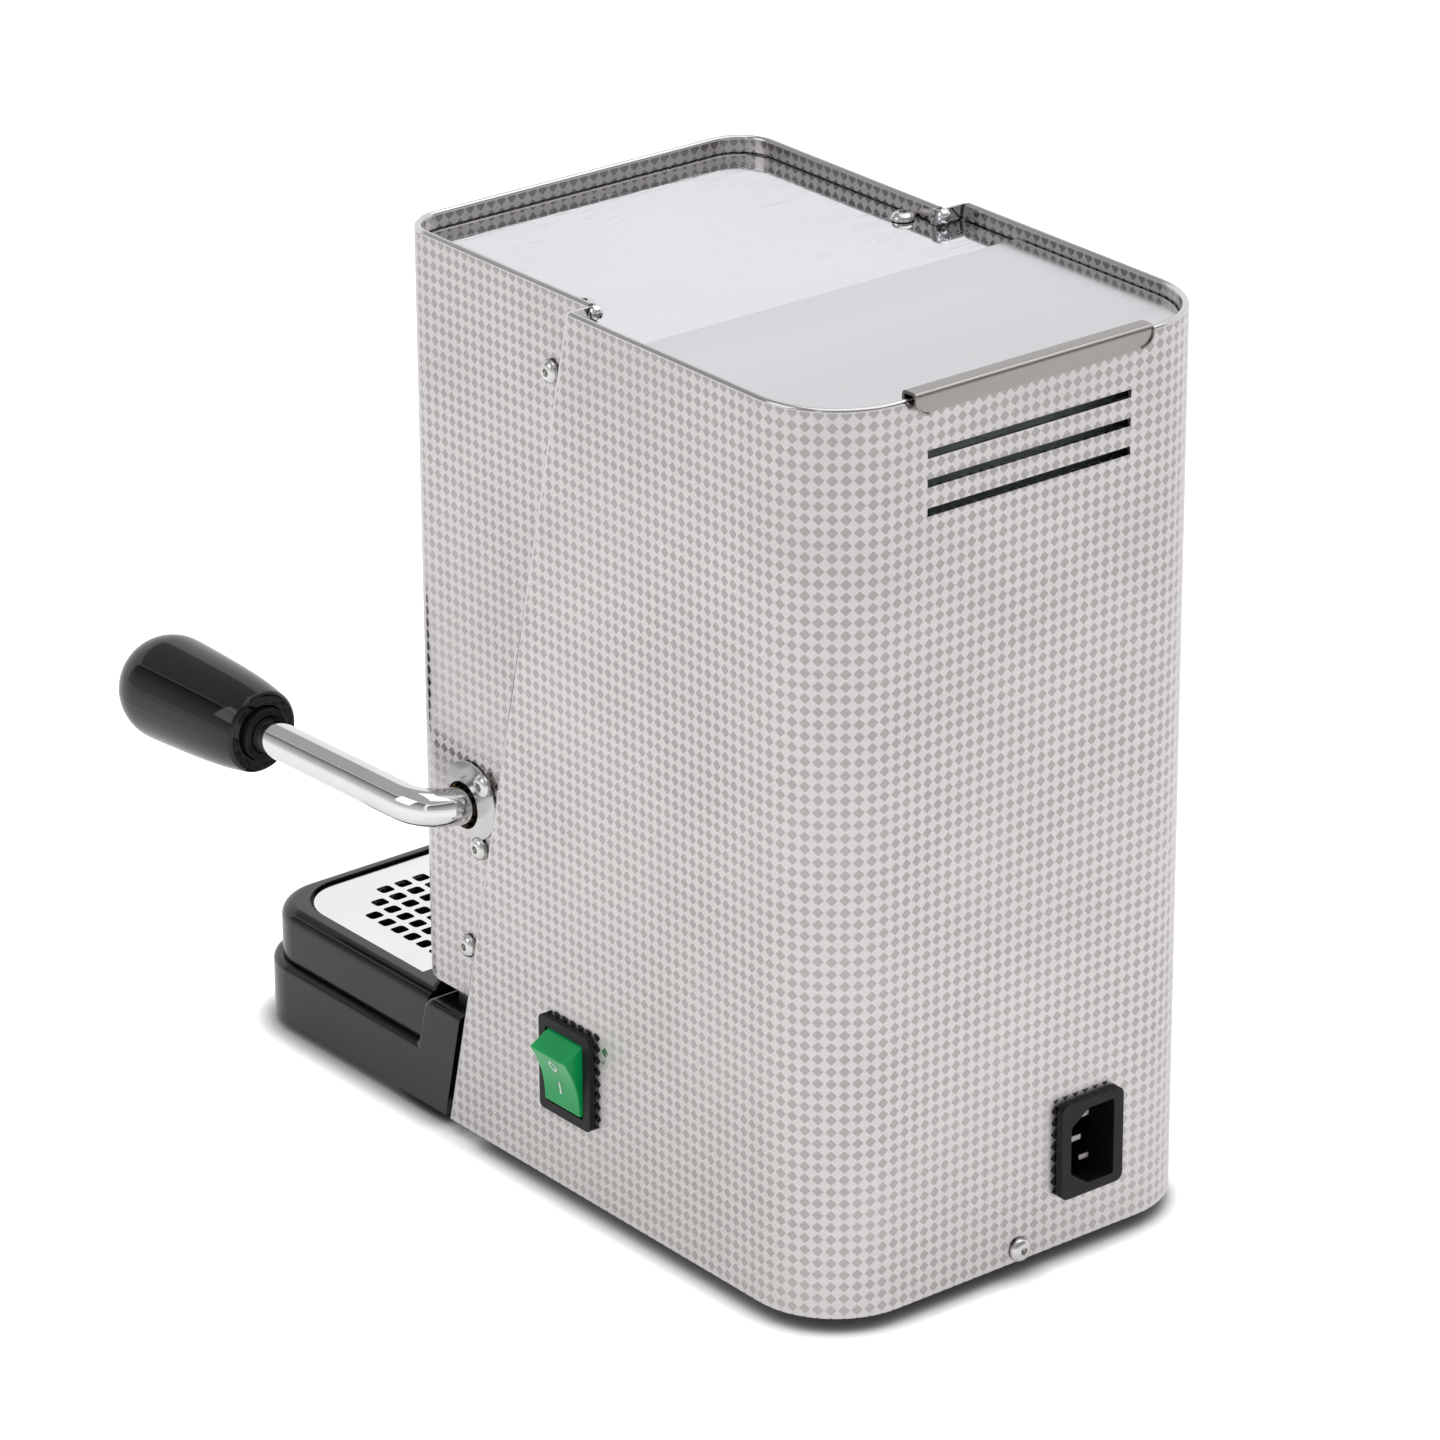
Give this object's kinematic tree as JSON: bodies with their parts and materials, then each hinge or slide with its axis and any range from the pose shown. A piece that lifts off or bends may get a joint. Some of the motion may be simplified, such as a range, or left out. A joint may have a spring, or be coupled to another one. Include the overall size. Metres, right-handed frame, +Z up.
{
  "type": "lever espresso machine",
  "caption": "Upright pod espresso machine in patterned steel with a side lever, drip tray on a black base, lift-out water tank and hooked tank lid.",
  "frame": {"origin": "centre of the object's box in plan, on the surface it stands on", "axes": "+Z up, -Y towards the user at the front, +X to the user's right, where the lever is"},
  "size_m": [0.1792, 0.3247, 0.2885],
  "materials": {
    "checkered_steel": "satin with a fine checker pattern",
    "mirror_steel": "mirror polished",
    "satin_steel": "satin",
    "polished_steel": "polished",
    "galvanised_steel": "galvanised",
    "brass": "machined",
    "copper": "drawn",
    "black_gloss": "gloss",
    "black_plastic": "fine matt",
    "black_rubber": "matt",
    "red_rubber": "matt",
    "green_lens": "translucent gloss",
    "amber_lens": "translucent gloss",
    "tank_plastic": "translucent",
    "hose_plastic": "satin"
  },
  "bodies": {
    "housing": {"base_tub": "black_gloss", "foot_front_right": "black_rubber", "foot_rear_right": "black_rubber", "foot_front_left": "black_rubber", "foot_rear_left": "black_rubber", "chassis_floor": "galvanised_steel", "side_frame_right": "galvanised_steel", "side_frame_left": "galvanised_steel", "front_shell": "checkered_steel", "rear_shell": "checkered_steel", "top_deck": "mirror_steel", "lever_bush_right": "brass", "lever_bush_left": "brass", "lever_escutcheon": "mirror_steel", "group_head": "polished_steel", "guide_pin_left": "polished_steel", "guide_pin_right": "polished_steel", "group_gasket": "red_rubber", "shower_screen": "satin_steel", "group_collar": "black_plastic", "boiler": "brass", "thermostat": "black_plastic", "brew_button_housing": "black_plastic", "pilot_lamp": "amber_lens", "switch_bezel": "black_plastic", "inlet_body": "black_plastic", "inlet_pin_live": "polished_steel", "inlet_pin_earth": "polished_steel", "inlet_pin_neutral": "polished_steel", "tank_shelf": "galvanised_steel", "tank_valve_seat": "black_plastic", "pump": "black_plastic", "pump_bracket": "galvanised_steel", "suction_hose": "hose_plastic", "pressure_tube": "copper", "seam_screw_right_upper": "polished_steel", "seam_screw_right_lever": "polished_steel", "seam_screw_right_middle": "polished_steel", "seam_screw_right_lower": "polished_steel", "seam_screw_left_upper": "polished_steel", "seam_screw_left_lever": "polished_steel", "seam_screw_left_middle": "polished_steel", "seam_screw_left_lower": "polished_steel", "deck_screw_right": "polished_steel", "deck_screw_left": "polished_steel", "rim_screw_right": "polished_steel", "rim_screw_left": "polished_steel", "rear_screw": "polished_steel"},
    "lever": {"lever_rod": "polished_steel", "lever_knob": "black_gloss", "lever_ferrule": "black_plastic", "lever_cam": "galvanised_steel"},
    "carrier": {"pod_carrier": "polished_steel", "pod_spout": "polished_steel"},
    "tank": {"water_tank": "tank_plastic"},
    "lid": {"tank_lid": "satin_steel"},
    "tray": {"drip_tray": "black_gloss"},
    "grid": {"drip_grid": "polished_steel"},
    "rocker": {"switch_rocker": "green_lens"},
    "button": {"brew_button": "polished_steel"}
  },
  "joints": [
    {"name": "lever_turn", "type": "hinge", "parent": "housing", "child": "lever", "pos_m": [-0.01457, -0.02052, 0.108], "axis": [-1, 0, 0], "range_deg": [0, 90]},
    {"name": "carrier_drop", "type": "slide", "parent": "housing", "child": "carrier", "axis": [0, 0, -1], "range_m": [0, 0.01]},
    {"name": "tank_lift", "type": "slide", "parent": "housing", "child": "tank", "axis": [0, 0, 1], "range_m": [0, 0.15]},
    {"name": "lid_lift", "type": "slide", "parent": "tank", "child": "lid", "axis": [0, 0, 1], "range_m": [0, 0.04]},
    {"name": "tray_pull", "type": "slide", "parent": "housing", "child": "tray", "axis": [0, -1, 0], "range_m": [0, 0.09]},
    {"name": "grid_lift", "type": "slide", "parent": "tray", "child": "grid", "axis": [0, 0, 1], "range_m": [0, 0.015]},
    {"name": "rocker_turn", "type": "hinge", "parent": "housing", "child": "rocker", "pos_m": [0.05993, 0.04158, 0.0451], "axis": [0, -1, 0], "range_deg": [0, 32]},
    {"name": "button_press", "type": "slide", "parent": "housing", "child": "button", "axis": [0, 1, 0], "range_m": [0, 0.003], "stiffness_N_per_m": 300}
  ],
  "couplings": [
    {"joint": "carrier_drop", "follows": "lever_turn", "m_per_rad": 0.006366}
  ]
}
